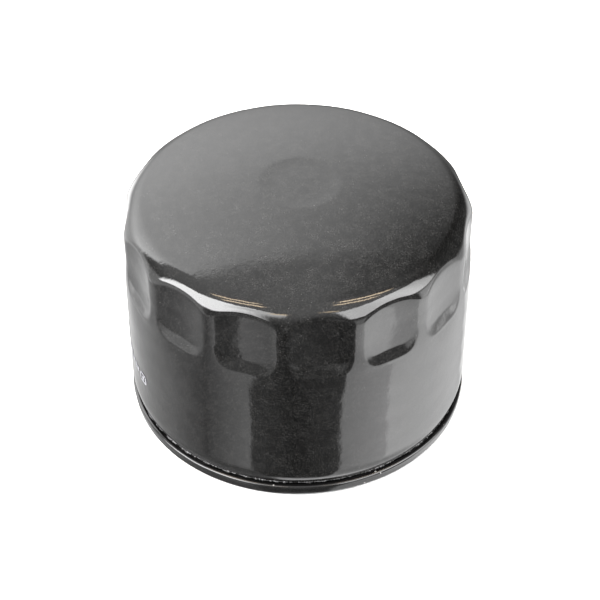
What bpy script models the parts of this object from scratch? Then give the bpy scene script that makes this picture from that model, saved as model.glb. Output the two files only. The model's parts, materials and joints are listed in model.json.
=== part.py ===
"""Spin-on oil filter for small engines, dome end up, as an assembly of separate pieces.

The origin lies on the filter's axis, at the sealing face of the gasket, and +Z runs up
the axis to the domed end. Lengths below are in millimetres and are scaled to metres
where vertices are made. Pieces that touch in the real filter keep a small gap here.
"""

import math

import bmesh
import bpy
from mathutils import Matrix

MM = 0.001
GAP = 0.3                      # clearance between pieces that touch or are pressed together
WELD = 0.00001                 # merge distance in metres

# Can: drawn steel, with a domed end and a ring of flutes for a cap wrench
CAN_RADIUS = 38.0
CAN_SHEET = 0.6
SEAM_BOTTOM_Z = 1.3
SHOULDER_RADIUS = 6.08
SHOULDER_CENTRE_Z = 47.85
DOME_EDGE_SLOPE = math.radians(13.0)
DOME_MARK_RADIUS = 9.3
DOME_MARK_DEPTH = 0.25
FLUTE_COUNT = 15
FLUTE_HALF_ANGLE = math.radians(10.25)
FLUTE_DEPTH = 1.15
RIDGE_DROP = 0.25
FLUTE_START_Z = 35.7
FLUTE_FULL_Z = 39.3
COLUMNS_PER_FLUTE = 4
NECK_RADIUS = 36.5
NECK_FLARE_RADIUS = 37.3

# Seaming lid, which folds over the can's flange
LID_SHEET = 0.5
SEAM_RADIUS = 38.2
SEAM_TOP_Z = 4.1
LID_PANEL_Z = 4.65
GASKET_GROOVE_LIP_RADIUS = 27.55

# Gasket
GASKET_INNER_RADIUS = 28.2
GASKET_OUTER_RADIUS = 33.0
GASKET_HEIGHT = 4.1

# Base plate with a 3/4-16 UNF thread
PLATE_RADIUS = 33.5
PLATE_BOTTOM_Z = 5.2
PLATE_TOP_Z = 8.2
THREAD_LAND_RADIUS = 13.7
THREAD_LAND_Z = 4.95
COLLAR_RADIUS = 11.0
COLLAR_TOP_Z = 13.0
THREAD_MINOR_RADIUS = 8.75
THREAD_MAJOR_RADIUS = 9.48
THREAD_PITCH = 25.4 / 16
INLET_COUNT = 8
INLET_RADIUS = 3.0
INLET_RING_RADIUS = 19.5

# Filter element
ELEMENT_SHEET = 0.5
CAP_RADIUS = 33.0
LOWER_CAP_Z = 15.25
UPPER_CAP_Z = 45.45
CAP_LIP = 3.35
POTTING_THICKNESS = 1.0
POTTING_OUTER_RADIUS = 32.4
TUBE_INNER_RADIUS = 13.1
TUBE_OUTER_RADIUS = 13.6
MEDIA_INNER_RADIUS = 14.3
MEDIA_OUTER_RADIUS = 31.6
MEDIA_PAPER = 0.4
PLEAT_COUNT = 32
PLEAT_TIP_HALF_WIDTH = 0.8
PLEAT_ROOT_HALF_WIDTH = 0.45
TUBE_HOLE_RADIUS = 1.6
TUBE_HOLES_PER_ROW = 6
TUBE_HOLE_ROWS = 3

# Bypass valve, hung in the upper end of the centre tube
CAGE_RADIUS = 11.6
CAGE_SHEET = 0.6
CAGE_FLANGE_RADIUS = 16.0
CAGE_FLANGE_Z = 46.0
CAGE_BOTTOM_Z = 32.4
STEM_HOLE_RADIUS = 3.0
VALVE_PORT_RADIUS = 7.0
DISC_RADIUS = 10.2
DISC_Z = 44.7
STEM_RADIUS = 1.5
STEM_BOTTOM_Z = 30.0
BYPASS_SPRING_RADIUS = 6.0
BYPASS_WIRE_RADIUS = 0.45
BYPASS_SPRING_TURNS = 6

# Element spring, between the upper end cap and the dome
ELEMENT_SPRING_LOWER_RADIUS = 20.0
ELEMENT_SPRING_UPPER_RADIUS = 14.0
ELEMENT_WIRE_RADIUS = 0.6
ELEMENT_SPRING_TURNS = 3.5

TURN_STEPS = 40
ELEMENT_TURN_STEPS = 32
SMALL_TURN_STEPS = 24
THREAD_STEPS_PER_TURN = 20
COIL_POINTS_PER_TURN = 10
SHARP_ANGLE = math.radians(35.0)


# ---------------------------------------------------------------- scene helpers

def clear_scene():
    for obj in list(bpy.data.objects):
        bpy.data.objects.remove(obj, do_unlink=True)
    for collection in list(bpy.data.collections):
        bpy.data.collections.remove(collection)


def new_collection(name):
    collection = bpy.data.collections.new(name)
    bpy.context.scene.collection.children.link(collection)
    return collection


def material(name, colour, roughness, metallic):
    mat = bpy.data.materials.new(name)
    mat.use_nodes = True
    shader = mat.node_tree.nodes["Principled BSDF"]
    shader.inputs["Base Color"].default_value = (*colour, 1.0)
    shader.inputs["Roughness"].default_value = roughness
    shader.inputs["Metallic"].default_value = metallic
    return mat


def shade_round(mesh):
    mesh.shade_smooth()
    mesh.set_sharp_from_angle(angle=SHARP_ANGLE)


def part_object(name, mesh, mat):
    obj = bpy.data.objects.new(name, mesh)
    obj.data.materials.append(mat)
    PARTS.objects.link(obj)
    return obj


def cutter_object(name, mesh):
    obj = bpy.data.objects.new(name, mesh)
    CUTTERS.objects.link(obj)
    obj.hide_render = True
    obj.display_type = "WIRE"
    return obj


def evaluated_mesh(obj):
    bpy.context.view_layer.update()
    graph = bpy.context.evaluated_depsgraph_get()
    return bpy.data.meshes.new_from_object(obj.evaluated_get(graph))


# ---------------------------------------------------------------- modelling helpers

def profile_mesh(name, points, closed):
    """Radius and height pairs, in millimetres, as an edge chain at +X."""
    count = len(points)
    edges = [(i, i + 1) for i in range(count - 1)]
    if closed:
        edges.append((count - 1, 0))
    mesh = bpy.data.meshes.new(name)
    mesh.from_pydata([(r * MM, 0.0, z * MM) for r, z in points], edges, [])
    return mesh


def add_screw(obj, steps):
    screw = obj.modifiers.new("Turn", "SCREW")
    screw.axis = "Z"
    screw.angle = 2 * math.pi
    screw.steps = steps
    screw.render_steps = steps
    screw.use_merge_vertices = True
    screw.merge_threshold = WELD
    screw.use_smooth_shade = True


def turned(name, points, mat, steps=TURN_STEPS, closed=True):
    """A solid of revolution from a section that runs down its outer side."""
    obj = part_object(name, profile_mesh(name, points, closed), mat)
    add_screw(obj, steps)
    return obj


def turned_sheet(name, points, thickness, mat, steps=TURN_STEPS):
    """A turned sheet-metal piece, from the line through the middle of its sheet."""
    obj = turned(name, points, mat, steps, closed=False)
    add_solidify(obj, thickness, 0.0)
    return obj


def add_solidify(obj, thickness, offset):
    solid = obj.modifiers.new("Sheet", "SOLIDIFY")
    solid.thickness = thickness * MM
    solid.offset = offset
    solid.use_even_offset = True


def ring_section(inner, outer, low, high):
    return [(outer, high), (outer, low), (inner, low), (inner, high)]


def cut(obj, cutter):
    boolean = obj.modifiers.new("Cut", "BOOLEAN")
    boolean.operation = "DIFFERENCE"
    boolean.solver = "EXACT"
    boolean.object = cutter


def cylinder_into(bm, radius, length, sides, matrix):
    made = bmesh.ops.create_cone(bm, cap_ends=True, segments=sides, radius1=radius * MM,
                                 radius2=radius * MM, depth=length * MM)
    bmesh.ops.transform(bm, matrix=matrix, verts=made["verts"])


def around_axis(angle, radius, z, tilt=0.0):
    """A frame at a radius and height on the filter, tilted outward about its tangent."""
    turn = Matrix.Rotation(angle, 4, "Z")
    place = Matrix.Translation((radius * MM, 0.0, z * MM))
    return turn @ place @ Matrix.Rotation(tilt, 4, "Y")


def coil(name, radius_at, wire_radius, z_low, z_high, turns, mat):
    """A round-wire compression spring whose two end turns lie flat and close."""
    closed_rise = 2 * wire_radius + 0.15
    active_rise = (z_high - z_low - 2 * closed_rise) / (turns - 2)
    total = int(round(turns * COIL_POINTS_PER_TURN))
    curve = bpy.data.curves.new(name, "CURVE")
    curve.dimensions = "3D"
    curve.bevel_depth = wire_radius * MM
    curve.bevel_resolution = 2
    curve.use_fill_caps = True
    spline = curve.splines.new("POLY")
    spline.points.add(total)
    for i in range(total + 1):
        turn = i / COIL_POINTS_PER_TURN
        low_turns = min(turn, 1.0)
        high_turns = max(turn - (turns - 1.0), 0.0)
        active_turns = turn - low_turns - high_turns
        z = z_low + closed_rise * (low_turns + high_turns) + active_rise * active_turns
        radius = radius_at(i / total)
        angle = 2 * math.pi * turn
        spline.points[i].co = (radius * math.cos(angle) * MM, radius * math.sin(angle) * MM,
                               z * MM, 1.0)
    obj = bpy.data.objects.new(name, curve)
    obj.data.materials.append(mat)
    PARTS.objects.link(obj)
    return obj


# ---------------------------------------------------------------- can

def dome_edge():
    """The circle where the shoulder's arc runs into the dome."""
    radius = CAN_RADIUS - SHOULDER_RADIUS + SHOULDER_RADIUS * math.sin(DOME_EDGE_SLOPE)
    z = SHOULDER_CENTRE_Z + SHOULDER_RADIUS * math.cos(DOME_EDGE_SLOPE)
    return radius, z


def dome_height(radius):
    """Height of the dome's outer surface at a radius inside its edge."""
    edge_radius, edge_z = dome_edge()
    sphere = edge_radius / math.sin(DOME_EDGE_SLOPE)
    return edge_z + math.sqrt(sphere ** 2 - radius ** 2) - sphere * math.cos(DOME_EDGE_SLOPE)


def can_profile():
    """The can's outer line, from the middle of the dome down to the neck's flare."""
    mark_slope = 0.8
    points = [(0.0, dome_height(0.0) - DOME_MARK_DEPTH)]
    inner = DOME_MARK_RADIUS - mark_slope
    points.append((inner, dome_height(inner) - DOME_MARK_DEPTH))
    points += [(r, dome_height(r)) for r in (DOME_MARK_RADIUS, 22.0)]
    shoulder_top = 90.0 - math.degrees(DOME_EDGE_SLOPE)
    for degrees in (shoulder_top, 57.0, 38.0, 19.0, 0.0):
        angle = math.radians(degrees)
        points.append((CAN_RADIUS - SHOULDER_RADIUS * (1 - math.cos(angle)),
                       SHOULDER_CENTRE_Z + SHOULDER_RADIUS * math.sin(angle)))
    points += [(CAN_RADIUS, z) for z in (FLUTE_FULL_Z, 37.5, FLUTE_START_Z)]
    points += [(CAN_RADIUS, 7.3), (CAN_RADIUS - 0.4, 6.5), (NECK_RADIUS, 6.2)]
    points += [(NECK_RADIUS, 2.95), (NECK_FLARE_RADIUS, 2.95)]
    return points


def smooth_step(value):
    value = min(max(value, 0.0), 1.0)
    return value * value * (3.0 - 2.0 * value)


def flute_depth(angle, z):
    """How far the flutes press the wall in, at an angle from the middle of a flute."""
    pitch = 2 * math.pi / FLUTE_COUNT
    offset = (angle + pitch / 2) % pitch - pitch / 2
    hollow = max(1.0 - (offset / FLUTE_HALF_ANGLE) ** 2, 0.0)
    depth = RIDGE_DROP + (FLUTE_DEPTH - RIDGE_DROP) * hollow
    return depth * smooth_step((z - FLUTE_START_Z) / (FLUTE_FULL_Z - FLUTE_START_Z))


def press_flutes(mesh):
    for vertex in mesh.vertices:
        x, y, z = vertex.co
        radius = math.hypot(x, y)
        if radius == 0.0 or z < FLUTE_START_Z * MM:
            continue
        limit = (CAN_RADIUS - flute_depth(math.atan2(y, x), z / MM)) * MM
        if radius > limit:
            vertex.co.x = x * limit / radius
            vertex.co.y = y * limit / radius


def make_shell(mat):
    columns = FLUTE_COUNT * COLUMNS_PER_FLUTE
    turned_can = turned("can_line", can_profile(), mat, columns, closed=False)
    mesh = evaluated_mesh(turned_can)
    mesh.materials.clear()
    bpy.data.objects.remove(turned_can, do_unlink=True)
    press_flutes(mesh)
    shade_round(mesh)
    shell = part_object("shell", mesh, mat)
    shell.rotation_euler = (0.0, 0.0, -math.pi / 2)     # middle of one flute faces -Y
    add_solidify(shell, CAN_SHEET, -1.0)


def make_seaming_lid(mat):
    half = LID_SHEET / 2
    outer = SEAM_RADIUS - half
    top = SEAM_TOP_Z - half
    low = SEAM_BOTTOM_Z + half
    inner = NECK_RADIUS - CAN_SHEET - GAP - half
    panel_end = GASKET_OUTER_RADIUS + 0.4
    lip = GASKET_GROOVE_LIP_RADIUS
    line = [(NECK_RADIUS + GAP + 0.1, top), (outer - 0.35, top), (outer, top - 0.35),
            (outer, low + 0.3), (outer - 0.3, low), (inner, low), (inner, 3.0),
            (panel_end, LID_PANEL_Z), (lip, LID_PANEL_Z), (lip, 2.2)]
    turned_sheet("seaming_lid", line, LID_SHEET, mat)


def make_seam_sealant(mat):
    inner = NECK_RADIUS + GAP
    low = SEAM_TOP_Z + GAP
    section = [(inner + 0.2, low + 0.55), (inner + 0.6, low + 0.2), (inner + 0.6, low),
               (inner, low), (inner, low + 0.55)]
    turned("seam_sealant", section, mat)


# ---------------------------------------------------------------- base end

def make_thread_cutter():
    """A helical ridge with a trapezoid section, which cuts the thread's groove."""
    root = THREAD_MINOR_RADIUS - 0.4
    start_z = PLATE_BOTTOM_Z - 0.7
    turns = (COLLAR_TOP_Z + 0.7 - start_z) / THREAD_PITCH
    steps = int(turns * THREAD_STEPS_PER_TURN)
    section = [(root, -0.62), (THREAD_MAJOR_RADIUS, -0.1), (THREAD_MAJOR_RADIUS, 0.1),
               (root, 0.62)]
    bm = bmesh.new()
    corners = [bm.verts.new((r * MM, 0.0, (start_z + z) * MM)) for r, z in section]
    face = bm.faces.new(corners)
    bmesh.ops.spin(bm, geom=[face, *face.edges, *face.verts], cent=(0.0, 0.0, 0.0),
                   axis=(0.0, 0.0, 1.0), dvec=(0.0, 0.0, THREAD_PITCH * MM / THREAD_STEPS_PER_TURN),
                   angle=2 * math.pi * steps / THREAD_STEPS_PER_TURN, steps=steps)
    bmesh.ops.holes_fill(bm, edges=bm.edges, sides=4)
    bmesh.ops.recalc_face_normals(bm, faces=bm.faces)
    off_facets = Matrix.Rotation(math.radians(4.0), 4, "Z")      # clear of the bore's facets
    bmesh.ops.transform(bm, matrix=off_facets, verts=bm.verts)
    mesh = bpy.data.meshes.new("thread_cutter")
    bm.to_mesh(mesh)
    bm.free()
    return cutter_object("thread_cutter", mesh)


def make_inlet_cutter():
    bm = bmesh.new()
    middle = (PLATE_BOTTOM_Z + PLATE_TOP_Z) / 2
    length = PLATE_TOP_Z - PLATE_BOTTOM_Z + 2.0
    for i in range(INLET_COUNT):
        place = around_axis(2 * math.pi * (i + 0.5) / INLET_COUNT, INLET_RING_RADIUS, middle)
        cylinder_into(bm, INLET_RADIUS, length, 10, place)
    mesh = bpy.data.meshes.new("inlet_cutter")
    bm.to_mesh(mesh)
    bm.free()
    return cutter_object("inlet_cutter", mesh)


def make_base_plate(mat):
    chamfer = 0.4
    lead_in = 0.85
    section = [(PLATE_RADIUS, PLATE_TOP_Z), (PLATE_RADIUS, PLATE_BOTTOM_Z + chamfer),
               (PLATE_RADIUS - chamfer, PLATE_BOTTOM_Z),
               (THREAD_LAND_RADIUS + chamfer, PLATE_BOTTOM_Z), (THREAD_LAND_RADIUS, THREAD_LAND_Z),
               (THREAD_MINOR_RADIUS + lead_in, THREAD_LAND_Z),
               (THREAD_MINOR_RADIUS, THREAD_LAND_Z + lead_in),
               (THREAD_MINOR_RADIUS, COLLAR_TOP_Z),
               (COLLAR_RADIUS - chamfer, COLLAR_TOP_Z),
               (COLLAR_RADIUS, COLLAR_TOP_Z - chamfer), (COLLAR_RADIUS, PLATE_TOP_Z)]
    plate = turned("base_plate", section, mat, ELEMENT_TURN_STEPS)
    cut(plate, make_thread_cutter())
    cut(plate, make_inlet_cutter())


def make_sealing_gasket(mat):
    rounding = 0.4
    section = [(GASKET_OUTER_RADIUS, GASKET_HEIGHT), (GASKET_OUTER_RADIUS, rounding),
               (GASKET_OUTER_RADIUS - rounding, 0.0), (GASKET_INNER_RADIUS + rounding, 0.0),
               (GASKET_INNER_RADIUS, rounding), (GASKET_INNER_RADIUS, GASKET_HEIGHT)]
    turned("sealing_gasket", section, mat)


def make_anti_drainback_valve(mat):
    """A rubber umbrella: a sleeve around the collar, and a lip over the inlet holes."""
    inner = COLLAR_RADIUS + GAP + 0.1
    rest = PLATE_TOP_Z + GAP
    top = LOWER_CAP_Z - ELEMENT_SHEET / 2 - GAP
    section = [(inner + 1.5, top), (inner + 1.5, 13.2), (15.5, 12.3), (22.5, 10.3),
               (26.2, rest + 0.7), (26.2, rest), (25.0, rest), (22.3, 9.4), (15.0, 11.3),
               (inner + 1.2, 11.7), (inner + 1.2, rest + 0.5), (inner, rest + 0.5),
               (inner, top)]
    turned("anti_drainback_valve", section, mat, ELEMENT_TURN_STEPS)


# ---------------------------------------------------------------- filter element

def make_end_caps(mat):
    collar = TUBE_INNER_RADIUS - GAP - ELEMENT_SHEET / 2
    lower = [(CAP_RADIUS, LOWER_CAP_Z + CAP_LIP), (CAP_RADIUS, LOWER_CAP_Z),
             (collar, LOWER_CAP_Z), (collar, LOWER_CAP_Z + 2.8)]
    turned_sheet("lower_end_cap", lower, ELEMENT_SHEET, mat, ELEMENT_TURN_STEPS)
    upper = [(CAGE_RADIUS + 0.6, UPPER_CAP_Z), (CAP_RADIUS, UPPER_CAP_Z),
             (CAP_RADIUS, UPPER_CAP_Z - CAP_LIP)]
    turned_sheet("upper_end_cap", upper, ELEMENT_SHEET, mat, ELEMENT_TURN_STEPS)


def element_inside():
    """Heights of the end caps' inner faces, less the gap to what they hold."""
    half = ELEMENT_SHEET / 2 + GAP
    return LOWER_CAP_Z + half, UPPER_CAP_Z - half


def make_potting(mat):
    low, high = element_inside()
    inner = TUBE_OUTER_RADIUS + GAP
    lower = ring_section(inner, POTTING_OUTER_RADIUS, low, low + POTTING_THICKNESS)
    upper = ring_section(inner, POTTING_OUTER_RADIUS, high - POTTING_THICKNESS, high)
    turned("lower_potting", lower, mat, ELEMENT_TURN_STEPS)
    turned("upper_potting", upper, mat, ELEMENT_TURN_STEPS)


def pleat_outline():
    """Corners of the pleated paper's middle line, round the whole pack."""
    corners = []
    pitch = 2 * math.pi / PLEAT_COUNT
    tip = PLEAT_TIP_HALF_WIDTH / MEDIA_OUTER_RADIUS
    root = PLEAT_ROOT_HALF_WIDTH / MEDIA_INNER_RADIUS
    for i in range(PLEAT_COUNT):
        middle = math.pi / 2 + i * pitch
        for radius, angle in ((MEDIA_OUTER_RADIUS, middle - tip),
                              (MEDIA_OUTER_RADIUS, middle + tip),
                              (MEDIA_INNER_RADIUS, middle + pitch / 2 - root),
                              (MEDIA_INNER_RADIUS, middle + pitch / 2 + root)):
            corners.append((radius * math.cos(angle), radius * math.sin(angle)))
    return corners


def wall_mesh(name, outline, low, high, closed):
    """An upright sheet that follows an outline seen from above."""
    count = len(outline)
    bm = bmesh.new()
    verts = [bm.verts.new((x * MM, y * MM, low * MM)) for x, y in outline]
    edges = [bm.edges.new((verts[i], verts[i + 1])) for i in range(count - 1)]
    if closed:
        edges.append(bm.edges.new((verts[-1], verts[0])))
    raised = bmesh.ops.extrude_edge_only(bm, edges=edges)
    top = [item for item in raised["geom"] if isinstance(item, bmesh.types.BMVert)]
    bmesh.ops.translate(bm, vec=(0.0, 0.0, (high - low) * MM), verts=top)
    bmesh.ops.recalc_face_normals(bm, faces=bm.faces)
    mesh = bpy.data.meshes.new(name)
    bm.to_mesh(mesh)
    bm.free()
    return mesh


def media_heights():
    low, high = element_inside()
    return low + POTTING_THICKNESS + GAP, high - POTTING_THICKNESS - GAP


def make_pleated_media(mat):
    low, high = media_heights()
    media = part_object("pleated_media", wall_mesh("pleated_media", pleat_outline(), low, high,
                                                   True), mat)
    add_solidify(media, MEDIA_PAPER, 0.0)


def make_media_seam_clip(mat):
    """A folded metal strip over the pleat where the two ends of the paper meet."""
    low, high = media_heights()
    sheet = 0.3
    half_width = PLEAT_TIP_HALF_WIDTH + MEDIA_PAPER / 2 + GAP + sheet / 2
    back = MEDIA_OUTER_RADIUS + MEDIA_PAPER / 2 + GAP + sheet / 2
    depth = 4.5
    line = [(half_width, back - depth), (half_width, back), (-half_width, back),
            (-half_width, back - depth)]
    mesh = wall_mesh("media_seam_clip", line, low + 3.0, high - 3.0, False)
    add_solidify(part_object("media_seam_clip", mesh, mat), sheet, 0.0)


def make_center_tube(mat):
    low, high = element_inside()
    section = ring_section(TUBE_INNER_RADIUS, TUBE_OUTER_RADIUS, low, high)
    tube = turned("center_tube", section, mat, SMALL_TURN_STEPS)
    bm = bmesh.new()
    wall_middle = (TUBE_INNER_RADIUS + TUBE_OUTER_RADIUS) / 2
    for row in range(TUBE_HOLE_ROWS):
        z = low + (high - low) * (row + 1) / (TUBE_HOLE_ROWS + 1)
        for i in range(TUBE_HOLES_PER_ROW):
            angle = 2 * math.pi * (i + 0.5 * (row % 2) + 0.25) / TUBE_HOLES_PER_ROW
            place = around_axis(angle, wall_middle, z, math.pi / 2)
            cylinder_into(bm, TUBE_HOLE_RADIUS, 2.4, 8, place)
    mesh = bpy.data.meshes.new("tube_hole_cutter")
    bm.to_mesh(mesh)
    bm.free()
    cut(tube, cutter_object("tube_hole_cutter", mesh))


# ---------------------------------------------------------------- bypass valve

def make_bypass_cage(mat):
    """A cup with a flange on the upper end cap, windows in its wall and a hole for the stem."""
    outer = CAGE_RADIUS
    inner = CAGE_RADIUS - CAGE_SHEET
    flange_top = CAGE_FLANGE_Z + CAGE_SHEET
    bottom_top = CAGE_BOTTOM_Z + CAGE_SHEET
    section = [(CAGE_FLANGE_RADIUS, flange_top), (CAGE_FLANGE_RADIUS, CAGE_FLANGE_Z),
               (outer, CAGE_FLANGE_Z), (outer, CAGE_BOTTOM_Z), (STEM_HOLE_RADIUS, CAGE_BOTTOM_Z),
               (STEM_HOLE_RADIUS, bottom_top), (inner, bottom_top), (inner, flange_top)]
    cage = turned("bypass_cage", section, mat, SMALL_TURN_STEPS)
    window_width = 8.0
    window_low = 35.5
    window_high = 43.5
    bm = bmesh.new()
    for i in range(4):
        made = bmesh.ops.create_cube(bm, size=MM)
        scale = Matrix.Diagonal((6.0, window_width, window_high - window_low, 1.0))
        place = around_axis(math.pi * (i + 0.5) / 2, outer, (window_low + window_high) / 2)
        bmesh.ops.transform(bm, matrix=place @ scale, verts=made["verts"])
    mesh = bpy.data.meshes.new("window_cutter")
    bm.to_mesh(mesh)
    bm.free()
    cut(cage, cutter_object("window_cutter", mesh))


def make_bypass_pieces(steel, rubber):
    seat_low = CAGE_FLANGE_Z + CAGE_SHEET + GAP
    seal_high = seat_low - GAP
    disc_sheet = 0.7
    seal_low = DISC_Z + disc_sheet + GAP
    boss_radius = VALVE_PORT_RADIUS - 0.1
    boss_top = seal_low + 0.5
    hole = STEM_RADIUS + GAP
    seat = ring_section(VALVE_PORT_RADIUS, CAGE_FLANGE_RADIUS - 0.5, seat_low, seat_low + 0.6)
    turned("bypass_seat", seat, steel, SMALL_TURN_STEPS)
    disc = [(boss_radius, boss_top), (boss_radius, DISC_Z + disc_sheet),
            (DISC_RADIUS, DISC_Z + disc_sheet), (DISC_RADIUS, DISC_Z), (hole, DISC_Z),
            (hole, boss_top)]
    turned("bypass_disc", disc, steel, SMALL_TURN_STEPS)
    seal = ring_section(boss_radius + GAP, DISC_RADIUS - 0.4, seal_low, seal_high)
    turned("bypass_seal", seal, rubber, SMALL_TURN_STEPS)
    head_low = boss_top + GAP
    stem = [(0.0, head_low + 0.9), (2.6, head_low + 0.9), (3.2, head_low + 0.4),
            (3.2, head_low), (STEM_RADIUS, head_low), (STEM_RADIUS, STEM_BOTTOM_Z + 0.3),
            (STEM_RADIUS - 0.3, STEM_BOTTOM_Z), (0.0, STEM_BOTTOM_Z)]
    turned("bypass_stem", stem, steel, 16, closed=False)


def make_bypass_spring(steel, spring_steel):
    seat_low = CAGE_BOTTOM_Z + CAGE_SHEET + GAP
    seat_high = seat_low + 0.6
    washer = ring_section(STEM_HOLE_RADIUS + 0.4, 9.0, seat_low, seat_high)
    turned("bypass_spring_seat", washer, steel, SMALL_TURN_STEPS)
    coil("bypass_spring", lambda along: BYPASS_SPRING_RADIUS, BYPASS_WIRE_RADIUS,
         seat_high + GAP + BYPASS_WIRE_RADIUS, DISC_Z - GAP - BYPASS_WIRE_RADIUS,
         BYPASS_SPRING_TURNS, spring_steel)


# ---------------------------------------------------------------- element spring

def make_element_spring(steel, spring_steel):
    seat_low = UPPER_CAP_Z + ELEMENT_SHEET / 2 + GAP
    seat_high = seat_low + 0.6
    seat = ring_section(CAGE_FLANGE_RADIUS + GAP, 24.0, seat_low, seat_high)
    turned("element_spring_seat", seat, steel, SMALL_TURN_STEPS)
    upper_z = dome_height(ELEMENT_SPRING_UPPER_RADIUS + ELEMENT_WIRE_RADIUS) - CAN_SHEET - GAP
    span = ELEMENT_SPRING_UPPER_RADIUS - ELEMENT_SPRING_LOWER_RADIUS
    coil("element_spring", lambda along: ELEMENT_SPRING_LOWER_RADIUS + span * along,
         ELEMENT_WIRE_RADIUS, seat_high + GAP + ELEMENT_WIRE_RADIUS,
         upper_z - ELEMENT_WIRE_RADIUS - 0.1, ELEMENT_SPRING_TURNS, spring_steel)


def build():
    black_paint = material("black_paint", (0.012, 0.012, 0.013), 0.14, 0.0)
    lid_paint = material("lid_paint", (0.012, 0.012, 0.013), 0.25, 0.0)
    sealant = material("sealant", (0.30, 0.29, 0.27), 0.6, 0.0)
    plated_steel = material("plated_steel", (0.55, 0.54, 0.50), 0.35, 1.0)
    gasket_rubber = material("gasket_rubber", (0.02, 0.02, 0.02), 0.7, 0.0)
    silicone = material("silicone", (0.55, 0.12, 0.04), 0.55, 0.0)
    tinned_steel = material("tinned_steel", (0.62, 0.62, 0.60), 0.3, 1.0)
    plastisol = material("plastisol", (0.35, 0.33, 0.30), 0.5, 0.0)
    paper = material("filter_paper", (0.62, 0.45, 0.20), 0.85, 0.0)
    spring_steel = material("spring_steel", (0.40, 0.40, 0.42), 0.25, 1.0)
    make_shell(black_paint)
    make_seaming_lid(lid_paint)
    make_seam_sealant(sealant)
    make_base_plate(plated_steel)
    make_sealing_gasket(gasket_rubber)
    make_anti_drainback_valve(silicone)
    make_end_caps(tinned_steel)
    make_potting(plastisol)
    make_pleated_media(paper)
    make_media_seam_clip(tinned_steel)
    make_center_tube(tinned_steel)
    make_bypass_cage(tinned_steel)
    make_bypass_pieces(tinned_steel, gasket_rubber)
    make_bypass_spring(tinned_steel, spring_steel)
    make_element_spring(tinned_steel, spring_steel)


clear_scene()
PARTS = new_collection("oil_filter")
CUTTERS = new_collection("cutters")
build()
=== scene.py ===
"""Looks for the spin-on oil filter: fine meshes and procedural materials around the CAD frame.

Lengths are in metres and heights run up from the gasket's sealing face. Angles are in radians,
but the sky's azimuths and elevations are in degrees. A flute's middle faces -Y, as in the CAD
frame.
"""

import json
import math

import bmesh
import bpy
import numpy as np
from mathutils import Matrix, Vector


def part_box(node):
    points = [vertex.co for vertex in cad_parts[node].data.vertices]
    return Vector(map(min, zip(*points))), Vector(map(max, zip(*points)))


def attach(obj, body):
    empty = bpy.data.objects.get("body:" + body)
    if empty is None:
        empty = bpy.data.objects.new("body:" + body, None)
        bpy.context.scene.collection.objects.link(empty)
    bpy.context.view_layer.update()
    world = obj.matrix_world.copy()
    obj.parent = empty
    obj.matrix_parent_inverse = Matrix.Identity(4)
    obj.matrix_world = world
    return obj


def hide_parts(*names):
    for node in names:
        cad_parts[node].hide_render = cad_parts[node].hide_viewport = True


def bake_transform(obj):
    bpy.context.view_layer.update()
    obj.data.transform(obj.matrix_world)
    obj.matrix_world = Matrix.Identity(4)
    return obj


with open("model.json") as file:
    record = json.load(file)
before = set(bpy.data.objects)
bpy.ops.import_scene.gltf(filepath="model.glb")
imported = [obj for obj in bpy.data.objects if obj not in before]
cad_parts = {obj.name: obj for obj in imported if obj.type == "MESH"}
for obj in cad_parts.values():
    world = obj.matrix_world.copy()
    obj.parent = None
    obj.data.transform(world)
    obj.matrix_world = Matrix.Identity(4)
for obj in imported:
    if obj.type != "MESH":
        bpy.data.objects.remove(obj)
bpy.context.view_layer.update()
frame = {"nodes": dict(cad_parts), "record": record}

MM = 0.001

# ---------------------------------------------------------------- sizes read from the frame
CAN_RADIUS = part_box("shell")[1].x
LID_LOW, LID_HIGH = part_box("seaming_lid")
GASKET_LOW, GASKET_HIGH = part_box("sealing_gasket")
BEAD_LOW, BEAD_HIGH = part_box("seam_sealant")

# ---------------------------------------------------------------- sizes of the finer shapes
# The can's sheet, and the round shoulder that runs tangent into the spherical dome
CAN_SHEET = 0.6 * MM
SHOULDER_RADIUS = 6.08 * MM
SHOULDER_CENTRE_Z = 47.85 * MM
DOME_EDGE_SLOPE = math.radians(13.0)
DOME_EDGE_RADIUS = CAN_RADIUS - SHOULDER_RADIUS + SHOULDER_RADIUS * math.sin(DOME_EDGE_SLOPE)
DOME_EDGE_Z = SHOULDER_CENTRE_Z + SHOULDER_RADIUS * math.cos(DOME_EDGE_SLOPE)
DOME_SPHERE = DOME_EDGE_RADIUS / math.sin(DOME_EDGE_SLOPE)

# The shallow dish in the dome: its edge, how far in it reaches full depth, and its place
# to the camera's right and away from it
DOME_MARK_RADIUS = 8.7 * MM
DOME_MARK_DEPTH = 0.26 * MM
DOME_MARK_BAND = 7.6 * MM
DOME_MARK_SOFTNESS = 0.06
DOME_MARK_OFFSET = (0.5 * MM, 0.7 * MM)

# The flutes, pressed in from the shoulder down, and the dip that each draws in below itself
FLUTE_COUNT = 15
FLUTE_HALF_WIDTH = 6.8 * MM
FLUTE_DEPTH = 1.34 * MM
FLUTE_START_Z = 35.7 * MM
FLUTE_RAMP = 3.6 * MM
FLUTE_CORNER = 4.0 * MM
FLUTE_SIDE_SOFTNESS = 0.20 * MM
RIDGE_DROP = 0.25 * MM
FLUTE_TAIL = 9.0 * MM
FLUTE_TAIL_DEPTH = 0.22 * MM
FLUTE_TAIL_SOFTNESS = 0.05 * MM
COLUMNS_PER_FLUTE = 40

# The crease between a flute and the shoulder, which rounds off with the flute's depth and only
# above a height
CREASE_BLEND = 0.5 * MM
CREASE_LEAST = 0.2
CREASE_FADE_Z = 45.0 * MM
CREASE_FADE = 5.0 * MM

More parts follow.
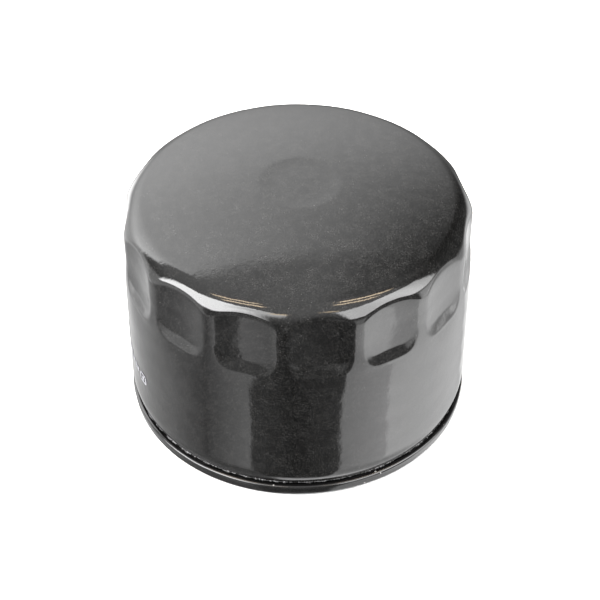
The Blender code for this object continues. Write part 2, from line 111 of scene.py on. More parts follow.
# The wall's unevenness, which keeps clear of the foot and of the shoulder
WALL_UNEVENNESS = 0.05 * MM
WALL_LOW_Z = 9.0 * MM
WALL_HIGH_Z = 50.0 * MM
WALL_FADE = 5.0 * MM

# The foot, which curls in to a neck that flares into the seam
FOOT_CURL_Z = 9.3 * MM
FOOT_CURL = 0.50 * MM
FOOT_CURL_POWER = 2.6
FOOT_CORNER = 0.7 * MM
CAN_FOOT_Z = 5.30 * MM
NECK_RADIUS = 36.5 * MM
NECK_HIGH_Z = 5.0 * MM
NECK_LOW_Z = 2.95 * MM
NECK_FLARE_RADIUS = 37.3 * MM

# The seaming lid: its sheet, the folded rim, the skirt inside it, and the gasket's groove
LID_SHEET = 0.5 * MM
LID_GAP = 0.06 * MM
LID_LIP_GAP = 0.4 * MM
LID_TOP_Z = 4.1 * MM
LID_TUCK = 0.25 * MM
LID_SKIRT_RADIUS = 35.35 * MM
LID_SKIRT_Z = 3.0 * MM
LID_GROOVE_Z = 4.65 * MM
LID_GROOVE_OUTER = 33.4 * MM
LID_GROOVE_INNER = 27.55 * MM
LID_INNER_EDGE = 0.9 * MM
LID_CORNER = 0.55 * MM
LID_STEP = 0.7 * MM
LID_COLUMNS = 480

# The wander of the lid's rim, in and out and up and down
RIM_UNEVENNESS = 0.05 * MM
RIM_INSET = 0.02 * MM
RIM_FADE = 0.9 * MM

# The bead of compound: its section, and the share of it that its lumps leave
BEAD_INSET = 0.6 * MM
BEAD_WIDTH = 0.58 * MM
BEAD_HEIGHT = 0.52 * MM
BEAD_FOOT = 0.3 * MM
BEAD_COLUMNS = 1500
BEAD_SHARE = 0.55
BEAD_LEAST = 0.15

GASKET_INNER_RADIUS = 28.2 * MM
GASKET_CORNER = 0.5 * MM
GASKET_COLUMNS = 240

# Springs, whose wire sizes are radii and whose end radii are the coils' at the top
SPRING_STEPS_PER_TURN = 40
SPRING_SIDES = 12
SPRING_END_GAP = 0.15 * MM
ELEMENT_SPRING_WIRE = 0.6 * MM
ELEMENT_SPRING_END_RADIUS = 14.0 * MM
ELEMENT_SPRING_TURNS = 3.5
BYPASS_SPRING_WIRE = 0.45 * MM
BYPASS_SPRING_END_RADIUS = 6.0 * MM
BYPASS_SPRING_TURNS = 6

# Printed marks: a frame round a block, then a row of bars. The frame and the bars are in mm,
# and each bar is its width, the gap after it, its low end and its high end
PRINT_Z = 15.3 * MM
PRINT_START = math.radians(61.0)
PRINT_LIFT = 0.03 * MM
PRINT_SHEET = 0.02 * MM
PRINT_FRAME_WIDTH = 3.2
PRINT_FRAME_HEIGHT = 2.5
PRINT_FRAME_LINE = 0.4
PRINT_BLOCK_INSET = (1.1, 0.8)
PRINT_FRAME_GAP = 1.1
PRINT_BARS = ((0.9, 0.7, 0.9, 2.2), (0.5, 0.9, 0.6, 2.4), (1.1, 0.6, 1.4, 2.3),
              (0.7, 0.8, 0.8, 3.1), (0.8, 0.7, 1.9, 3.8), (1.1, 0.6, 0.7, 2.6),
              (1.2, 0.6, 1.8, 4.6), (1.5, 0.6, 1.0, 5.4), (1.6, 0.6, 3.0, 5.8))

# Camera, which stands to the left of the flute that faces -Y; its level unit vectors to the
# right of the view and away from the camera
CAMERA_AZIMUTH = math.radians(-7.2)
CAMERA_ELEVATION = math.radians(41.8)
CAMERA_DISTANCE = 10.5 * CAN_RADIUS
CAMERA_TARGET_Z = LID_LOW.z + 0.607 * CAN_RADIUS
CAMERA_TARGET_RIGHT = 0.0133 * CAN_RADIUS
CAMERA_LENS = 106.7
CAMERA_RIGHT = Vector((math.cos(CAMERA_AZIMUTH), math.sin(CAMERA_AZIMUTH), 0.0))
CAMERA_AWAY = Vector((-math.sin(CAMERA_AZIMUTH), math.cos(CAMERA_AZIMUTH), 0.0))


# ---------------------------------------------------------------- node helpers

def add_node(tree, kind, **settings):
    made = tree.nodes.new(kind)
    for key, value in settings.items():
        setattr(made, key, value)
    return made


def feed(tree, socket, value):
    """Link a socket, or set it to a plain value."""
    if isinstance(value, bpy.types.NodeSocket):
        tree.links.new(value, socket)
    else:
        socket.default_value = value


def maths(tree, operation, first, second=0.0, third=0.0):
    made = add_node(tree, "ShaderNodeMath", operation=operation)
    for socket, value in zip(made.inputs, (first, second, third)):
        feed(tree, socket, value)
    return made.outputs[0]


def smooth_range(tree, value, start, end, low=0.0, high=1.0):
    made = add_node(tree, "ShaderNodeMapRange", interpolation_type="SMOOTHSTEP")
    for socket, item in zip(made.inputs, (value, start, end, low, high)):
        feed(tree, socket, item)
    return made.outputs[0]


def linear_range(tree, value, start, end):
    made = add_node(tree, "ShaderNodeMapRange")
    for socket, item in zip(made.inputs, (value, start, end)):
        feed(tree, socket, item)
    return made.outputs[0]


def mix_colour(tree, share, first, second):
    made = add_node(tree, "ShaderNodeMix", data_type="RGBA")
    feed(tree, made.inputs[0], share)
    feed(tree, made.inputs[6], first)
    feed(tree, made.inputs[7], second)
    return made.outputs[2]


def noise(tree, vector, scale, detail=2.0, roughness=0.5):
    made = add_node(tree, "ShaderNodeTexNoise")
    feed(tree, made.inputs["Vector"], vector)
    made.inputs["Scale"].default_value = scale
    made.inputs["Detail"].default_value = detail
    made.inputs["Roughness"].default_value = roughness
    return made.outputs["Fac"]


def voronoi(tree, vector, scale, randomness=1.0):
    made = add_node(tree, "ShaderNodeTexVoronoi")
    feed(tree, made.inputs["Vector"], vector)
    made.inputs["Scale"].default_value = scale
    made.inputs["Randomness"].default_value = randomness
    return made.outputs["Distance"], made.outputs["Color"]


def bump(tree, height, distance, strength=1.0, base=None):
    made = add_node(tree, "ShaderNodeBump")
    feed(tree, made.inputs["Strength"], strength)
    made.inputs["Distance"].default_value = distance
    feed(tree, made.inputs["Height"], height)
    if base is not None:
        feed(tree, made.inputs["Normal"], base)
    return made.outputs[0]


def colour(red, green, blue):
    return (red, green, blue, 1.0)


def grey(value):
    return colour(value, value, value)


class Finish:
    """A new material, its Principled shader and the piece's own coordinates."""

    def __init__(self, name, metallic=0.0):
        self.material = bpy.data.materials.new(name)
        self.material.use_nodes = True
        self.tree = self.material.node_tree
        self.shader = self.tree.nodes["Principled BSDF"]
        self.shader.inputs["Metallic"].default_value = metallic
        self.place = add_node(self.tree, "ShaderNodeTexCoord").outputs["Object"]
        split = add_node(self.tree, "ShaderNodeSeparateXYZ")
        self.tree.links.new(self.place, split.inputs[0])
        self.x, self.y, self.z = split.outputs

    def radius(self):
        square = maths(self.tree, "MULTIPLY", self.x, self.x)
        return maths(self.tree, "SQRT", maths(self.tree, "MULTIPLY_ADD", self.y, self.y, square))

    def angle(self):
        return maths(self.tree, "ARCTAN2", self.y, self.x)

    def set(self, **values):
        for name, value in values.items():
            feed(self.tree, self.shader.inputs[name.replace("_", " ")], value)


def specks(tree, place, scale, size, share):
    """A mask of sparse round specks: about this share of the cells holds one."""
    distance, cell = voronoi(tree, place, scale)
    split = add_node(tree, "ShaderNodeSeparateColor")
    tree.links.new(cell, split.inputs[0])
    chosen = maths(tree, "LESS_THAN", split.outputs[0], share)
    reach = maths(tree, "MULTIPLY", split.outputs[1], size)
    spot = maths(tree, "LESS_THAN", distance, reach)
    return maths(tree, "MULTIPLY", spot, chosen)


# ---------------------------------------------------------------- finishes
# Noise and speck scales count cells in a metre; bump distances are lengths

ENAMEL_IOR = 1.52


def can_paint():
    """Gloss black enamel with orange peel, a little haze and fine settled dust.

    The dust and the peel are stronger on the dome, and the enamel is duller in the flutes.
    """
    made = Finish("can_paint")
    tree = made.tree
    dome = smooth_range(tree, made.z, DOME_EDGE_Z, DOME_EDGE_Z + 0.6 * MM)
    wall = smooth_range(tree, made.z, WALL_HIGH_Z, WALL_HIGH_Z - 10 * MM)
    haze = noise(tree, made.place, 90.0, 3.0, 0.6)
    cloud = noise(tree, made.place, 420.0, 4.0, 0.65)
    grit = noise(tree, made.place, 2300.0, 3.0, 0.7)
    film = smooth_range(tree, noise(tree, made.place, 3900.0, 2.0, 0.6), 0.40, 0.76)
    film = maths(tree, "MULTIPLY", film, smooth_range(tree, cloud, 0.35, 0.65, 0.014, 0.040))
    film = maths(tree, "MULTIPLY", film, smooth_range(tree, dome, 0.0, 1.0, 1.0, 1.55))
    dust = maths(tree, "MAXIMUM", specks(tree, made.place, 2800.0, 0.24, 0.12),
                 specks(tree, made.place, 1600.0, 0.17, 0.05))
    dust = maths(tree, "MULTIPLY", dust, smooth_range(tree, haze, 0.42, 0.62, 0.35, 1.0))
    dust = maths(tree, "MULTIPLY", dust, smooth_range(tree, made.z, 30 * MM, 54 * MM, 0.14, 0.17))
    dust = maths(tree, "MAXIMUM", dust, film)
    black = mix_colour(tree, haze, grey(0.0002), colour(0.0006, 0.0006, 0.0005))
    made.set(Base_Color=mix_colour(tree, dust, black, colour(0.42, 0.41, 0.40)))
    satin = smooth_range(tree, dome, 0.0, 1.0, 0.050, 0.085)
    in_flutes = maths(tree, "MULTIPLY", smooth_range(tree, made.z, 35 * MM, 38 * MM),
                      smooth_range(tree, made.z, 51 * MM, 49 * MM))
    satin = maths(tree, "MULTIPLY_ADD", in_flutes, 0.045, satin)
    rough = maths(tree, "MULTIPLY_ADD", haze, 0.03, satin)
    rough = maths(tree, "MULTIPLY_ADD", dust, 0.3, rough)
    made.set(Roughness=rough)
    sag = bump(tree, noise(tree, made.place, 130.0, 1.0, 0.5), 0.030 * MM, wall)
    sag = bump(tree, noise(tree, made.place, 300.0, 2.0, 0.5), 0.050 * MM, in_flutes, sag)
    peel = bump(tree, noise(tree, made.place, 420.0, 2.0, 0.5), 0.012 * MM, 1.0, sag)
    peel = bump(tree, noise(tree, made.place, 850.0, 2.0, 0.5), 0.012 * MM, 1.0, peel)
    grain = smooth_range(tree, dome, 0.0, 1.0, 0.45, 1.0)
    made.set(Normal=bump(tree, grit, 0.006 * MM, grain, peel), IOR=ENAMEL_IOR)
    return made.material


def lid_paint():
    """The same enamel over the seam, thicker and less even, with chips on the lower edge."""
    made = Finish("lid_paint")
    tree = made.tree
    patches = noise(tree, made.place, 260.0, 4.0, 0.65)
    chip_field = noise(tree, made.place, 700.0, 3.0, 0.7)
    low_edge = smooth_range(tree, made.z, LID_LOW.z + 0.5 * MM, LID_LOW.z)
    chips = maths(tree, "MULTIPLY", low_edge, smooth_range(tree, chip_field, 0.60, 0.66))
    dust = maths(tree, "MULTIPLY", specks(tree, made.place, 800.0, 0.22, 0.12), 0.5)
    black = mix_colour(tree, patches, colour(0.0015, 0.0015, 0.0016), colour(0.0045, 0.0043, 0.0042))
    worn = mix_colour(tree, chips, black, colour(0.16, 0.15, 0.14))
    made.set(Base_Color=mix_colour(tree, dust, worn, colour(0.35, 0.34, 0.33)))
    made.set(Roughness=smooth_range(tree, patches, 0.3, 0.75, 0.07, 0.20))
    made.set(Normal=bump(tree, patches, 0.03 * MM, 0.7))
    return made.material


def seam_compound():
    """Cured compound that was painted over: glossy, lumpy, with dull pits."""
    made = Finish("seam_compound")
    tree = made.tree
    lumps = noise(tree, made.place, 1500.0, 3.0, 0.65)
    pits = smooth_range(tree, noise(tree, made.place, 1500.0, 2.0, 0.5), 0.62, 0.72)
    made.set(Base_Color=mix_colour(tree, pits, grey(0.003), colour(0.02, 0.019, 0.018)))
    made.set(Roughness=smooth_range(tree, lumps, 0.35, 0.7, 0.06, 0.22))
    made.set(Normal=bump(tree, lumps, 0.16 * MM, 1.0))
    return made.material


def plate_steel():
    """Stamped steel with a thin passivated zinc coat: faint straw and blue tints, tool marks."""
    made = Finish("plate_steel", 1.0)
    tree = made.tree
    cloud = noise(tree, made.place, 70.0, 4.0, 0.6)
    grain = noise(tree, made.place, 1400.0, 3.0, 0.6)
    tint = mix_colour(tree, smooth_range(tree, cloud, 0.35, 0.65),
                      colour(0.56, 0.55, 0.50), colour(0.48, 0.50, 0.52))
    stain = smooth_range(tree, noise(tree, made.place, 220.0, 5.0, 0.7), 0.62, 0.74)
    made.set(Base_Color=mix_colour(tree, maths(tree, "MULTIPLY", stain, 0.45), tint,
                                   colour(0.22, 0.20, 0.17)))
    made.set(Roughness=maths(tree, "MULTIPLY_ADD", grain, 0.22, 0.22))
    made.set(Normal=bump(tree, grain, 0.012 * MM, 0.6))
    return made.material


def moulded_rubber(name, dark, light, least_rough):
    """Moulded rubber: matt skin with a fine grain, bloom patches and a few pale specks."""
    made = Finish(name)
    tree = made.tree
    bloom = noise(tree, made.place, 120.0, 4.0, 0.6)
    grain = noise(tree, made.place, 2600.0, 2.0, 0.6)
    skin = mix_colour(tree, smooth_range(tree, bloom, 0.3, 0.75), dark, light)
    dust = maths(tree, "MULTIPLY", specks(tree, made.place, 900.0, 0.2, 0.08), 0.4)
    made.set(Base_Color=mix_colour(tree, dust, skin, colour(0.45, 0.44, 0.42)))
    made.set(Roughness=maths(tree, "MULTIPLY_ADD", bloom, 0.2, least_rough))
    made.set(Normal=bump(tree, grain, 0.02 * MM, 0.6))
    return made.material


def tinned_steel():
    """Tinplate: bright, with circular drawing marks around the axis and small dull spots."""
    made = Finish("tinned_steel", 1.0)
    tree = made.tree
    rings = add_node(tree, "ShaderNodeCombineXYZ")
    feed(tree, rings.inputs[0], maths(tree, "MULTIPLY", made.radius(), 60.0))
    feed(tree, rings.inputs[1], maths(tree, "MULTIPLY", made.angle(), 0.05))
    feed(tree, rings.inputs[2], maths(tree, "MULTIPLY", made.z, 60.0))
    marks = noise(tree, rings.outputs[0], 40.0, 4.0, 0.7)
    spots = smooth_range(tree, noise(tree, made.place, 260.0, 3.0, 0.6), 0.58, 0.7)
    made.set(Base_Color=mix_colour(tree, spots, colour(0.66, 0.66, 0.64), colour(0.45, 0.45, 0.44)))
    rough = maths(tree, "MULTIPLY_ADD", marks, 0.22, 0.14)
    made.set(Roughness=maths(tree, "MULTIPLY_ADD", spots, 0.15, rough))
    made.set(Normal=bump(tree, marks, 0.01 * MM, 0.5))
    return made.material


def potting():
    """Cured plastisol: waxy, poured, with small bubbles."""
    made = Finish("potting")
    tree = made.tree
    cloud = noise(tree, made.place, 200.0, 4.0, 0.6)
    bubbles = specks(tree, made.place, 1100.0, 0.3, 0.2)
    made.set(Base_Color=mix_colour(tree, cloud, colour(0.30, 0.28, 0.25), colour(0.42, 0.40, 0.36)))
    made.set(Roughness=maths(tree, "MULTIPLY_ADD", cloud, 0.25, 0.35))
    made.set(Normal=bump(tree, maths(tree, "MULTIPLY_ADD", bubbles, -0.6, cloud), 0.08 * MM, 0.6))
    return made.material


def filter_paper():
    """Resin-stiffened cellulose: mottled tan fibres with a faint creped ripple."""
    made = Finish("filter_paper")
    tree = made.tree
    stretched = add_node(tree, "ShaderNodeMapping")
    stretched.inputs["Scale"].default_value = (1.0, 1.0, 0.18)
    tree.links.new(made.place, stretched.inputs["Vector"])
    fibres = noise(tree, stretched.outputs[0], 2400.0, 5.0, 0.7)
    mottle = noise(tree, made.place, 260.0, 4.0, 0.6)
    tan = mix_colour(tree, mottle, colour(0.52, 0.36, 0.15), colour(0.70, 0.53, 0.27))
    made.set(Base_Color=mix_colour(tree, smooth_range(tree, fibres, 0.45, 0.7), tan,
                                   colour(0.80, 0.66, 0.40)))
    made.set(Roughness=maths(tree, "MULTIPLY_ADD", fibres, 0.15, 0.75))
    ripple = add_node(tree, "ShaderNodeTexWave", bands_direction="Z")
    ripple.inputs["Scale"].default_value = 160.0
    ripple.inputs["Distortion"].default_value = 2.0
    tree.links.new(made.place, ripple.inputs["Vector"])
    crepe = bump(tree, ripple.outputs["Fac"], 0.05 * MM, 0.4)
    made.set(Normal=bump(tree, fibres, 0.03 * MM, 0.7, crepe))
    return made.material


def spring_steel():
    """Drawn wire with a thin oil film: dark steel with lengthwise streaks."""
    made = Finish("spring_steel", 1.0)
    tree = made.tree
    streaks = noise(tree, made.place, 600.0, 4.0, 0.65)
    oil = noise(tree, made.place, 140.0, 3.0, 0.5)
    made.set(Base_Color=mix_colour(tree, oil, colour(0.30, 0.30, 0.32), colour(0.46, 0.45, 0.43)))
    made.set(Roughness=maths(tree, "MULTIPLY_ADD", streaks, 0.2, 0.16))
    made.set(Normal=bump(tree, streaks, 0.008 * MM, 0.5))
    return made.material


def print_ink():
    """Pad-printed pale ink, thin in patches so that the paint shows through in places."""
    made = Finish("print_ink")
    tree = made.tree
    full = smooth_range(tree, noise(tree, made.place, 1800.0, 3.0, 0.6), 0.30, 0.46)
    made.set(Base_Color=mix_colour(tree, full, colour(0.07, 0.07, 0.075), colour(0.21, 0.21, 0.23)))
    made.set(Roughness=smooth_range(tree, full, 0.0, 1.0, 0.25, 0.45))
    return made.material


# ---------------------------------------------------------------- mesh helpers

WELD_DISTANCE = 1e-7


def smooth_noise(angle, z, seed, waves=5, lowest=2, rise=900.0):
    """A gentle, seamless unevenness around the filter, between about -1 and 1."""
    random = np.random.default_rng(seed)
    total = np.zeros(np.broadcast(angle, z).shape)
    for i in range(waves):
        turns = lowest + i * random.integers(1, 4)
        phase = random.uniform(0.0, 2 * math.pi, 2)
        total += np.sin(turns * angle + phase[0]) * np.cos(rise * (0.3 + 0.2 * i) * z + phase[1])
    return total / waves


def ring_noise(columns, finest, seed):
    """Random unevenness round a ring, of unit size, with few waves above the finest count."""
    random = np.random.default_rng(seed)
    waves = np.arange(columns // 2 + 1)
    spectrum = np.fft.rfft(random.standard_normal(columns)) * np.exp(-(waves / finest) ** 2)
    line = np.fft.irfft(spectrum, columns)
    return line / line.std()


def link_object(name, data):
    obj = bpy.data.objects.new(name, data)
    bpy.context.scene.collection.objects.link(obj)
    return obj


def smooth_object(name, points, faces):
    mesh = bpy.data.meshes.new(name)
    mesh.from_pydata(points, [], faces)
    mesh.shade_smooth()
    return link_object(name, mesh)


def turned_grid(name, profile, columns, shape=None, cap_start=False):
    """Sweep a line of (radius, height) points round the axis and let `shape` move the points."""
    profile = np.array(profile, float)
    angle = np.linspace(0.0, 2 * math.pi, columns, endpoint=False)[None, :]
    radius = np.repeat(profile[:, :1], columns, axis=1)
    z = np.repeat(profile[:, 1:], columns, axis=1)
    if shape is not None:
        radius, z = shape(radius, np.broadcast_to(angle, radius.shape), z)
    points = np.stack([radius * np.cos(angle), radius * np.sin(angle), z], -1).reshape(-1, 3)
    rows = len(profile)
    low = np.arange(rows - 1)[:, None] * columns
    this = np.arange(columns)[None, :]
    following = (this + 1) % columns
    faces = np.stack([low + this, low + columns + this, low + columns + following,
                      low + following], -1).reshape(-1, 4).tolist()
    if cap_start:
        points = np.concatenate([points, [[0.0, 0.0, float(z[0].mean())]]])
        centre = len(points) - 1
        faces += [(centre, i, (i + 1) % columns) for i in range(columns)]
    return smooth_object(name, points.tolist(), faces)


def closed_ring(name, section, columns, shape=None):
    """A turned solid from a closed section that runs down its outer side."""
    return turned_grid(name, [*section, section[0]], columns, shape)


def weld(obj):
    """Join points that coincide, and face all faces out."""
    bm = bmesh.new()
    bm.from_mesh(obj.data)
    bmesh.ops.remove_doubles(bm, verts=bm.verts, dist=WELD_DISTANCE)
    bmesh.ops.recalc_face_normals(bm, faces=bm.faces)
    bm.to_mesh(obj.data)
    bm.free()


def rounded(points, radius, steps=5):
    """The same line with each inner corner replaced by an arc-like curve."""
    line = [np.array(points[0], float)]
    for before, corner, after in zip(points, points[1:], points[2:]):
        before, corner, after = (np.array(p, float) for p in (before, corner, after))
        first = corner - before
        second = after - corner
        reach = min(radius, 0.45 * np.linalg.norm(first), 0.45 * np.linalg.norm(second))
        start = corner - first / np.linalg.norm(first) * reach
        end = corner + second / np.linalg.norm(second) * reach
        for t in np.linspace(0.0, 1.0, steps):
            line.append((1 - t) ** 2 * start + 2 * t * (1 - t) * corner + t ** 2 * end)
    line.append(np.array(points[-1], float))
    return line


def sheet(obj, thickness, offset):
    """Thicken an open surface: offset -1 grows it inwards, 0 both ways."""
    solid = obj.modifiers.new("Sheet", "SOLIDIFY")
    solid.thickness = thickness
    solid.offset = offset
    solid.use_even_offset = True


def dress(obj, finish, body, slot, *nodes):
    """Give a piece its material and its body, and hide the CAD nodes that it stands for."""
    obj.data.materials.clear()
    obj.data.materials.append(finish)
    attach(obj, body)
    if nodes:
        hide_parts(*nodes)


# ---------------------------------------------------------------- the can

def ramp(value):
    """0 to 1 with a smooth start and end."""
    value = np.clip(value, 0.0, 1.0)
    return value * value * (3.0 - 2.0 * value)


def dome_height(radius):
    rise = math.sqrt(DOME_SPHERE ** 2 - radius ** 2)
    return DOME_EDGE_Z + rise - DOME_SPHERE * math.cos(DOME_EDGE_SLOPE)


def can_line():
    """The can's outer line, from beside the middle of the dome down to the neck's flare.

    Its points are close together where the line bends or a mark or a flute shapes the sheet.
    """
    middle = np.linspace(0.8 * MM, 4.4 * MM, 6)
    mark = np.linspace(4.7 * MM, DOME_MARK_RADIUS + 1.5 * MM, 34)
    outer = np.linspace(11.0 * MM, DOME_EDGE_RADIUS, 24)
    line = [(r, dome_height(r)) for r in (*middle, *mark, *outer)]
    for angle in np.linspace(math.pi / 2 - DOME_EDGE_SLOPE, 0.0, 34)[1:]:
        line.append((CAN_RADIUS - SHOULDER_RADIUS * (1 - math.cos(angle)),
                     SHOULDER_CENTRE_Z + SHOULDER_RADIUS * math.sin(angle)))
    flutes = np.linspace(SHOULDER_CENTRE_Z, FLUTE_START_Z - 0.6 * MM, 42)[1:]
    line += [(CAN_RADIUS, z) for z in flutes]
    wall = np.linspace(FLUTE_START_Z - 1.2 * MM, FOOT_CURL_Z + 1.2 * MM, 24)
    line += [(CAN_RADIUS, z) for z in wall]
    for share in np.linspace(0.05, 1.0, 20):
        line.append((CAN_RADIUS - FOOT_CURL * share ** FOOT_CURL_POWER,
                     FOOT_CURL_Z + (CAN_FOOT_Z + 0.25 * MM - FOOT_CURL_Z) * share))
    foot = [line[-1], (CAN_RADIUS - FOOT_CURL - 0.1 * MM, CAN_FOOT_Z),
            (NECK_RADIUS + 0.3 * MM, CAN_FOOT_Z - 0.05 * MM), (NECK_RADIUS, NECK_HIGH_Z),
            (NECK_RADIUS, NECK_LOW_Z), (NECK_FLARE_RADIUS, NECK_LOW_Z)]
    line += [tuple(p) for p in rounded(foot, FOOT_CORNER, 6)]
    return line


def dome_mark(radius, angle):
    """How far the shallow round dish in the dome lies below it, a little off centre."""
    right, away = DOME_MARK_OFFSET
    x = radius * np.cos(angle) - right * CAMERA_RIGHT.x - away * CAMERA_AWAY.x
    y = radius * np.sin(angle) - right * CAMERA_RIGHT.y - away * CAMERA_AWAY.y
    inside = (DOME_MARK_RADIUS - np.hypot(x, y)) / DOME_MARK_BAND
    share = np.clip(soft_limit(inside, DOME_MARK_SOFTNESS), 0.0, 1.0)
    return DOME_MARK_DEPTH * (1.0 - (1.0 - share) ** 3)


def soft_limit(value, width):
    """max(value, 0) with its corner rounded over about the given width."""
    return 0.5 * (value + np.sqrt(value ** 2 + width ** 2))


def flute_press(angle, z):
    """How far the flutes press the wall in, with rounded lower corners and soft ridges."""
    pitch = 2 * math.pi / FLUTE_COUNT
    from_middle = (angle + math.pi / 2 + pitch / 2) % pitch - pitch / 2
    across = np.abs(from_middle) * CAN_RADIUS
    straight = FLUTE_HALF_WIDTH - FLUTE_CORNER
    corner = np.clip(across - straight, 0.0, FLUTE_CORNER)
    floor_z = FLUTE_START_Z + FLUTE_CORNER - np.sqrt(FLUTE_CORNER ** 2 - corner ** 2)
    rise = ramp((z - floor_z) / FLUTE_RAMP)
    scoop = (FLUTE_DEPTH - RIDGE_DROP) * (1.0 - (across / FLUTE_HALF_WIDTH) ** 2)
    hollow = soft_limit(scoop, FLUTE_SIDE_SOFTNESS)
    band = ramp((z - FLUTE_START_Z) / (2.0 * FLUTE_RAMP))
    return RIDGE_DROP * band + hollow * rise


def flute_tail(angle, z):
    """The shallow dip that each flute draws into the wall below it."""
    share = np.clip((z - FLUTE_START_Z + FLUTE_TAIL) / FLUTE_TAIL, 0.0, 1.0) ** 2
    wave = 0.5 * (1.0 + np.cos(FLUTE_COUNT * (angle + math.pi / 2)))
    return FLUTE_TAIL_DEPTH * wave * share


def shape_can(radius, angle, z):
    """Press in the flutes, blend each into the shoulder above it, and dish the dome."""
    tail = flute_tail(angle, z)
    depth = tail + soft_limit(flute_press(angle, z) - tail, FLUTE_TAIL_SOFTNESS)
    depth = depth - FLUTE_TAIL_SOFTNESS / 2
    pressed = CAN_RADIUS - depth
    deep = np.clip((depth - RIDGE_DROP) / (FLUTE_DEPTH - RIDGE_DROP), 0.0, 1.0)
    blend = CREASE_BLEND * (CREASE_LEAST + (1.0 - CREASE_LEAST) * deep)
    blend = blend * ramp((z - CREASE_FADE_Z) / CREASE_FADE)
    cut = 0.5 * (radius + pressed - np.sqrt((radius - pressed) ** 2 + blend ** 2))
    radius = np.where(z > FLUTE_START_Z - FLUTE_TAIL, cut, radius)
    wall = ramp((z - WALL_LOW_Z) / WALL_FADE) * ramp((WALL_HIGH_Z - z) / WALL_FADE)
    radius = radius - WALL_UNEVENNESS * (1.0 + smooth_noise(angle, z, seed=4)) * wall
    return radius, z - dome_mark(radius, angle)


def make_can(finish):
    """The pressed can, open at its foot, in place of the plain shell."""
    can = turned_grid("can", can_line(), FLUTE_COUNT * COLUMNS_PER_FLUTE, shape_can, True)
    sheet(can, CAN_SHEET, -1.0)
    dress(can, finish, "casing", "can_paint", "shell")


# ---------------------------------------------------------------- seam and gasket

def make_lid(finish):
    """The seaming lid, folded over the can's flange and rolled flat, so its edge wanders."""
    half = LID_SHEET / 2
    outer = LID_HIGH.x - half - LID_GAP
    top = LID_TOP_Z - half
    low = LID_LOW.z + half
    corners = [(NECK_RADIUS + LID_LIP_GAP, top), (outer, top), (outer - LID_TUCK, low),
               (LID_SKIRT_RADIUS, low), (LID_SKIRT_RADIUS, LID_SKIRT_Z),
               (LID_GROOVE_OUTER, LID_GROOVE_Z), (LID_GROOVE_INNER, LID_GROOVE_Z),
               (LID_GROOVE_INNER, LID_LOW.z + LID_INNER_EDGE)]
    bends = rounded(corners, LID_CORNER, 6)
    line = []
    for start, end in zip(bends, bends[1:]):
        parts = max(int(np.linalg.norm(end - start) / LID_STEP), 1)
        line += [start + (end - start) * i / parts for i in range(parts)]
    line.append(np.array(corners[-1]))

    def wander(radius, angle, z):
        """Make the rim a little uneven: in and out all round, up and down on the fold."""
        rim = ramp((radius - NECK_RADIUS - LID_LIP_GAP) / RIM_FADE)
        wave = RIM_UNEVENNESS * smooth_noise(angle, z, seed=11, waves=7, lowest=5, rise=300.0)
        roll = RIM_UNEVENNESS * smooth_noise(angle, z * 0.0, seed=12, waves=9, lowest=9)
        fold = ramp((z - LID_SKIRT_Z) / MM)
        return radius + rim * (wave - RIM_INSET), z + rim * fold * roll

    lid = turned_grid("lid", line, LID_COLUMNS, wander)
    sheet(lid, LID_SHEET, 0.0)
    dress(lid, finish, "casing", "lid_paint", "seaming_lid")


def make_bead(finish):
    """The lumpy bead of compound in the crevice between the neck and the fold."""
    inner = BEAD_HIGH.x - BEAD_INSET
    low = BEAD_LOW.z
    section = []
    for angle in np.linspace(math.pi / 2, 0.0, 7):
        section.append((inner + BEAD_WIDTH * math.cos(angle), low + BEAD_HEIGHT * math.sin(angle)))
    section += [(inner + BEAD_FOOT, low), (inner, low), (inner, low + BEAD_FOOT)]

    def lumps(radius, angle, z):
        """Shrink the section towards its inner foot by an uneven share."""
        lumps_wide = 0.20 * ring_noise(BEAD_COLUMNS, finest=70, seed=21)
        lumps_fine = 0.22 * ring_noise(BEAD_COLUMNS, finest=300, seed=22)
        share = np.clip(BEAD_SHARE + (lumps_wide + lumps_fine), BEAD_LEAST, 1.0)
        return inner + (radius - inner) * share, low + (z - low) * share

    bead = closed_ring("compound_bead", section, BEAD_COLUMNS, lumps)
    weld(bead)
    dress(bead, finish, "casing", "seam_compound", "seam_sealant")


def make_gasket(finish):
    """The square-cut gasket with soft corners."""
    outer = GASKET_HIGH.x
    low = GASKET_LOW.z
    high = GASKET_HIGH.z
    corners = [(outer, 0.5 * (low + high)), (outer, low), (GASKET_INNER_RADIUS, low),
               (GASKET_INNER_RADIUS, high), (outer, high), (outer, 0.5 * (low + high))]
    gasket = turned_grid("gasket", rounded(corners, GASKET_CORNER, 6), GASKET_COLUMNS)
    weld(gasket)
    dress(gasket, finish, "casing", "gasket_rubber", "sealing_gasket")


# ---------------------------------------------------------------- springs

